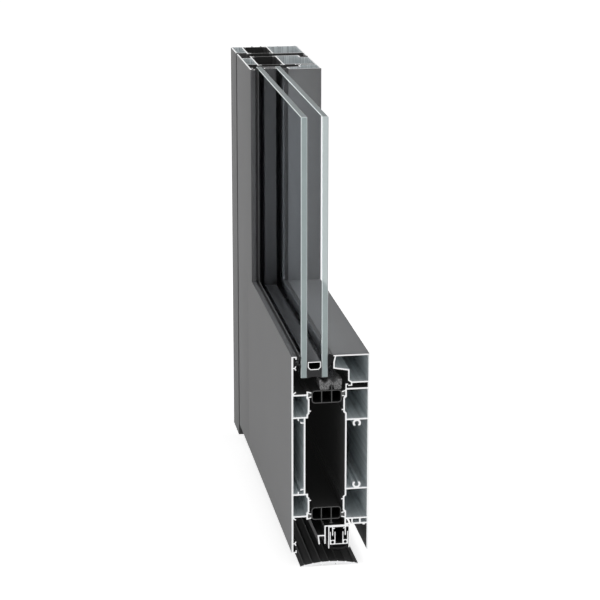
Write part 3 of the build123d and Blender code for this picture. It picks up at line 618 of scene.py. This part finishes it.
def read_stretches(node, axis):
    """Start, end and outlines of each stretch of a CAD bar that has one section."""
    solid = bmesh.new()
    solid.from_mesh(node.data)
    bmesh.ops.remove_doubles(solid, verts=solid.verts, dist=WELD)
    stations = sorted({round(vertex.co[axis], STATION_DIGITS) for vertex in solid.verts})
    direction = Vector([float(index == axis) for index in range(3)])
    stretches = []
    for start, end in zip(stations, stations[1:]):
        cut = solid.copy()
        made = bmesh.ops.bisect_plane(
            cut, geom=cut.verts[:] + cut.edges[:] + cut.faces[:], dist=ON_THE_CUT,
            plane_co=direction * (start + end) / 2, plane_no=direction)
        edges = [item for item in made["geom_cut"] if isinstance(item, bmesh.types.BMEdge)]
        stretches.append((start, end, [corners_only(ring) for ring in walk_outlines(edges, axis)]))
        cut.free()
    solid.free()
    return stretches


bead_stretches = read_stretches(frame["nodes"]["rail_bead"], LEVEL)
print("the level bead has", len(bead_stretches), "stretches, with",
      [sum(len(ring) for ring in rings) for _, _, rings in bead_stretches], "corners")

# %% [markdown]
# ## A bar from its section
#
# All bars follow one rule: a flat section, pushed along a line. Geometry Nodes does it
# with named sizes. The outlines become curves, their sharp corners are rounded as a die
# rounds them, the curves are filled and the face is extruded. An attribute marks the
# corners, so that arcs in the section aren't rounded twice.

# %% The tree that makes a cut length
SHARP_TURN = math.radians(35)


def extrusion_tree():
    """The node tree for one cut length, and the identifiers of its named inputs."""
    tree = bpy.data.node_groups.new("cut length of a bar", "GeometryNodeTree")
    tree.interface.new_socket("Section", in_out="INPUT", socket_type="NodeSocketGeometry")
    kinds = {"Length": "Float", "Corner Radius": "Float", "Corner Steps": "Int", "Finish": "Material"}
    sockets = {}
    for label, kind in kinds.items():
        socket = tree.interface.new_socket(label, in_out="INPUT", socket_type="NodeSocket" + kind)
        sockets[label] = socket.identifier
    tree.interface.new_socket("Bar", in_out="OUTPUT", socket_type="NodeSocketGeometry")
    given = add_node(tree, "NodeGroupInput")
    outlines = add_node(tree, "GeometryNodeMeshToCurve")
    corner = add_node(tree, "GeometryNodeInputNamedAttribute", {"Name": "corner"}, data_type="FLOAT")
    radius = add_node(tree, "ShaderNodeMath", operation="MULTIPLY")
    rounded = add_node(tree, "GeometryNodeFilletCurve", {"Limit Radius": True}, mode="POLY")
    filled = add_node(tree, "GeometryNodeFillCurve", mode="TRIANGLES")
    pushed = add_node(tree, "GeometryNodeExtrudeMesh", {"Individual": False, "Offset": (0, 0, 1)},
                      mode="FACES")
    start_face = add_node(tree, "GeometryNodeFlipFaces")
    joined = add_node(tree, "GeometryNodeJoinGeometry")
    welded = add_node(tree, "GeometryNodeMergeByDistance", {"Distance": WELD})
    realized = add_node(tree, "GeometryNodeRealizeInstances")
    dressed = add_node(tree, "GeometryNodeSetMaterial")
    out = add_node(tree, "NodeGroupOutput")
    for source, target in (
        (given.outputs["Section"], outlines.inputs["Mesh"]),
        (corner.outputs["Attribute"], radius.inputs[0]),
        (given.outputs["Corner Radius"], radius.inputs[1]),
        (outlines.outputs["Curve"], rounded.inputs["Curve"]),
        (given.outputs["Corner Steps"], rounded.inputs["Count"]),
        (radius.outputs[0], rounded.inputs["Radius"]),
        (rounded.outputs["Curve"], filled.inputs["Curve"]),
        (filled.outputs["Mesh"], pushed.inputs["Mesh"]),
        (given.outputs["Length"], pushed.inputs["Offset Scale"]),
        (filled.outputs["Mesh"], start_face.inputs["Mesh"]),
        (pushed.outputs["Mesh"], joined.inputs["Geometry"]),
        (start_face.outputs["Mesh"], joined.inputs["Geometry"]),
        (joined.outputs["Geometry"], welded.inputs["Geometry"]),
        (welded.outputs["Geometry"], realized.inputs["Geometry"]),
        (realized.outputs["Geometry"], dressed.inputs["Geometry"]),
        (given.outputs["Finish"], dressed.inputs["Material"]),
        (dressed.outputs["Geometry"], out.inputs["Bar"]),
    ):
        tree.links.new(source, target)
    return tree, sockets


bar_tree, bar_sockets = extrusion_tree()
print("the tree has", len(bar_tree.nodes), "nodes and the inputs", sorted(bar_sockets))

# %% [markdown]
# A tree works on the mesh of an object, through a modifier. So the outlines become a mesh
# of edges, a passing object carries it, and the result is kept as a plain mesh. The
# object could stay with its modifier, but a bar may be joined from several lengths, and
# its faces are sorted afterwards.


# %% Run the tree on an outline
def section_mesh(rings):
    """A flat mesh of edges only, whose attribute marks the sharp corners with 1."""
    points, edges, sharp = [], [], []
    for ring in rings:
        first = len(points)
        for index, point in enumerate(ring):
            before, after = ring[index - 1], ring[(index + 1) % len(ring)]
            points.append((point.x, point.y, 0.0))
            edges.append((first + index, first + (index + 1) % len(ring)))
            sharp.append(float((point - before).angle(after - point) > SHARP_TURN))
    mesh = bpy.data.meshes.new("section")
    mesh.from_pydata(points, edges, [])
    mesh.attributes.new("corner", "FLOAT", "POINT").data.foreach_set("value", sharp)
    return mesh


def cut_length(rings, sizes):
    """A plain mesh of one bar, which stands on its section at the origin."""
    bar = add_object("bar", section_mesh(rings))
    modifier = bar.modifiers.new("cut length", "NODES")
    modifier.node_group = bar_tree
    for label, value in sizes.items():
        modifier[bar_sockets[label]] = value
    seen = bpy.context.evaluated_depsgraph_get()
    mesh = bpy.data.meshes.new_from_object(bar.evaluated_get(seen))
    bpy.data.objects.remove(bar)
    return mesh


# %% [markdown]
# ## Which finish goes where
#
# A look names the finishes of one kind of bar: its sawn ends, the walls of its hollows,
# its outside, the part of the outside that shows on the finished door, and the narrow
# edge of the leg that holds the glass from outside. Each piece could have its own list,
# but the door is made of only a few materials, so a look belongs to a material. Uprights
# show their die lines more than level bars do, and have a look of their own.

# %% Looks by material
# painted shade: the outside coat of rebates and gap and the coat on the leg's edge are painted shade
LOOKS = {
    "coated_aluminium": (sawn_metal, chamber_metal, rebate_coat_painted_shade, grey_coat, edge_coat_painted_shade),
    "bare_aluminium": (sawn_metal, mill_metal, mill_metal, mill_metal, mill_metal),
    "black_aluminium": (sawn_metal, black_metal, black_metal, black_metal, black_metal),
    # painted shade: the hollows of plastic bars and spacer take the near-black inside finish
    "insulating_plastic": (bar_cut, hollow_inside_painted_shade, bar_plastic, bar_plastic, bar_plastic),
    "gasket_rubber": (rubber_cut, rubber, rubber, rubber, rubber),
    "edge_sealant": (sealant, sealant, sealant, sealant, sealant),
    "spacer_metal": (sawn_metal, hollow_inside_painted_shade, spacer_skin, spacer_skin, spacer_skin),
    "grey_foam": (foam_skin, foam_skin, foam_skin, foam_skin, foam_skin),
}
UPRIGHT_COATED_LOOK = (sawn_metal, streaky_metal, rebate_coat_painted_shade, grey_coat, edge_coat_painted_shade)
CORNER_RADII = {
    "coated_aluminium": 0.00035,
    "bare_aluminium": 0.00030,
    "black_aluminium": 0.00030,
    "insulating_plastic": 0.00020,
    "gasket_rubber": 0.00045,
    "edge_sealant": 0.00030,
    "spacer_metal": 0.00030,
    "grey_foam": 0.00060,
}
CORNER_STEPS = 3
SAWN, HOLLOW, OUTSIDE, SHOWN, LEG_EDGE = range(5)
print("looks for", len(LOOKS), "materials")

# %% [markdown]
# Somebody could paint the faces by hand, but there are thousands. The side faces of a bar
# hang together in rings: one goes round the outside and one round each hollow. The walls
# of a hollow are told from the outside by their normals. Summed up round a hollow, they
# point to its middle, and round the outside they point away. A face leans towards a
# direction when more than half of its normal does, and looks straight at it when nearly
# all of it does.

# %% Sort the faces of a bar
SKIN = 0.0008
LEG_DEPTH = 0.010
SMOOTH_TURN = math.radians(40)
LEANS = 0.5
STRAIGHT_AT = 0.99

sight_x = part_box("stile_outer_shell")[1].x
sight_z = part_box("rail_outer_shell")[1].z


def outside_finish(point, axis):
    """The number of the finish at a point of a bar's outside."""
    if min(point.y - cad_low.y, cad_high.y - point.y) < SKIN:
        return SHOWN
    at_the_glass = point.x > sight_x - SKIN if axis == UPRIGHT else point.z > sight_z - SKIN
    if at_the_glass:
        return LEG_EDGE if point.y < cad_low.y + LEG_DEPTH else SHOWN
    return OUTSIDE


def side_by_side(faces):
    """The faces in groups that hang together by their edges."""
    waiting = set(faces)
    groups = []
    for face in faces:
        if face not in waiting:
            continue
        waiting.discard(face)
        group = [face]
        for member in group:
            for edge in member.edges:
                for other in edge.link_faces:
                    if other in waiting:
                        waiting.discard(other)
                        group.append(other)
        groups.append(group)
    return groups


def turned_outward(face, axis):
    """The area of a side face times how far it lies along its normal, below 0 if it looks back."""
    place = across(face.calc_center_median(), axis)
    return face.calc_area() * place.dot(across(face.normal, axis))


def sort_faces(bar, axis):
    """Gives each face of a bar the number of its finish, and marks the sharp edges."""
    sides = []
    for face in bar.faces:
        face.smooth = True
        if abs(face.normal[axis]) > LEANS:
            face.material_index = SAWN
        else:
            sides.append(face)
    for group in side_by_side(sides):
        outward = sum(turned_outward(face, axis) for face in group)
        for face in group:
            if outward < 0:
                face.material_index = HOLLOW
            else:
                face.material_index = outside_finish(face.calc_center_median(), axis)
    for edge in bar.edges:
        edge.smooth = edge.calc_face_angle(math.pi) < SMOOTH_TURN


# %% [markdown]
# ## All the bars
#
# Jamb and stile stand upright, everything else lies level. One loop cuts each bar from
# its CAD solid's section, lays it in place, maps it and sorts its faces. The new piece
# then rides on the same body as the solid that it stands for.


# %% Build every bar
def place_bar(mesh, axis, start):
    """Lays a bar that stands at the origin along its axis, from its start."""
    turn = Matrix.Identity(4)
    for column in range(3):
        for row in range(3):
            turn[row][column] = float(row == (axis + 1 + column) % 3)
    turn[axis][3] = start
    mesh.transform(turn)


def make_bar(name):
    """The visible piece for a CAD bar, made from its sections and dressed in its look."""
    node = frame["nodes"][name]
    slot = node.data.materials[0].name
    axis = UPRIGHT if name.startswith(("jamb", "stile")) else LEVEL
    look = LOOKS[slot]
    if axis == UPRIGHT and slot == "coated_aluminium":
        look = UPRIGHT_COATED_LOOK
    sizes = {"Corner Radius": CORNER_RADII[slot], "Corner Steps": CORNER_STEPS, "Finish": look[SAWN]}
    bar = bmesh.new()
    for start, end, rings in read_stretches(node, axis):
        mesh = cut_length(rings, {**sizes, "Length": end - start})
        place_bar(mesh, axis, start)
        bar.from_mesh(mesh)
        bpy.data.meshes.remove(mesh)
    sort_faces(bar, axis)
    section_map = bar.loops.layers.uv.new(SECTION_MAP)
    for face in bar.faces:
        for loop in face.loops:
            loop[section_map].uv = across(loop.vert.co, axis)
    volume = bar.calc_volume(signed=True)
    open_edges = sum(not edge.is_manifold for edge in bar.edges)
    mesh = bpy.data.meshes.new(name + "_bar")
    bar.to_mesh(mesh)
    bar.free()
    for finish in look:
        mesh.materials.append(finish)
    piece = add_object(name + "_bar", mesh)
    print(f"{name}: {len(mesh.polygons)} faces, {volume * 1e6:.1f} cm3, {open_edges} open edges")
    return piece, slot


def stand_for(piece, name):
    """Puts a piece in the place of a CAD node: its body, its turn to be seen."""
    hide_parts(name)
    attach(piece, frame["nodes"][name]["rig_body"])


PANES = ("outer_pane", "inner_pane")
FOAM = "rebate_foam"

for bar_name in sorted(frame["nodes"]):
    if bar_name not in PANES and bar_name != FOAM:
        bar_piece, bar_slot = make_bar(bar_name)
        stand_for(bar_piece, bar_name)

# %% [markdown]
# ## The foam under the glass
#
# The strip is soft foam that fills the rebate, with two round hollows under the glass. It
# starts as a bar like the others. A voxel remesh gives it an even skin, and a cloudy
# texture pushes that skin in by up to half a millimetre, as cut foam is. It never pushes
# the skin out, so the strip can't grow into its neighbours.

# %% Foam
FOAM_VOXEL = 0.0009
FOAM_ROUGH = 0.0005
FOAM_CELL = 0.0016

foam, foam_slot = make_bar(FOAM)
foam_remesh = foam.modifiers.new("even skin", "REMESH")
foam_remesh.mode = "VOXEL"
foam_remesh.voxel_size = FOAM_VOXEL
foam_cells = bpy.data.textures.new("foam cells", "CLOUDS")
foam_cells.noise_scale = FOAM_CELL
foam_push = foam.modifiers.new("cells", "DISPLACE")
foam_push.texture = foam_cells
foam_push.strength = FOAM_ROUGH
foam_push.mid_level = 1.0
foam_mesh = bpy.data.meshes.new_from_object(foam.evaluated_get(bpy.context.evaluated_depsgraph_get()))
foam.modifiers.clear()
foam.data = foam_mesh
foam_mesh.materials.clear()
foam_mesh.materials.append(foam_skin)
for face in foam_mesh.polygons:
    face.material_index = 0
    face.use_smooth = True
stand_for(foam, FOAM)
print("foam strip:", len(foam_mesh.polygons), "faces")

# %% [markdown]
# ## The two panes
#
# Each pane is a flat sheet with ground edges. The grinder takes the sharp arris off all
# round, and that narrow slope catches the light as a fine bright line. A bevel of one
# step gives the slope, which catches real light, and its finish is painted lighter than the
# ends as a painted highlight. The large faces stay clear, the edges and slopes get the
# ground finishes.
# A film of air of a fiftieth of a millimetre keeps a pane off the gaskets and sealant that
# lie against it. Without it the two faces share one plane, and parts of it turn black.

# %% Panes
ARRIS = 0.0007
AIR_FILM = 0.00002
CLEAR, ENDS, RIM, SLOPE, BURIED = range(5)


def pane_finish(normal):
    """The number of the finish on a face of a pane."""
    if abs(normal.y) > STRAIGHT_AT:
        return CLEAR
    if min(normal.x, normal.z) < -LEANS:
        return BURIED
    if normal.x > STRAIGHT_AT:
        return ENDS
    return RIM if normal.z > STRAIGHT_AT else SLOPE


def make_pane(name):
    """A sheet of glass with its arrises ground off."""
    low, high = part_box(name)
    size = high - low - Vector((0, 2 * AIR_FILM, 0))
    sheet = bmesh.new()
    bmesh.ops.create_cube(sheet, size=1.0)
    bmesh.ops.transform(sheet, verts=sheet.verts,
                        matrix=Matrix.LocRotScale((low + high) / 2, None, size))
    bmesh.ops.bevel(sheet, geom=sheet.edges[:], offset=ARRIS, segments=1, affect="EDGES")
    for face in sheet.faces:
        face.material_index = pane_finish(face.normal)
    mesh = bpy.data.meshes.new(name + "_sheet")
    sheet.to_mesh(mesh)
    sheet.free()
    for finish in PANE_LOOK:
        mesh.materials.append(finish)
    print(name, "is", round((high.y - low.y) * 1000, 1), "mm thick")
    return add_object(name + "_sheet", mesh)


for pane_name in PANES:
    stand_for(make_pane(pane_name), pane_name)
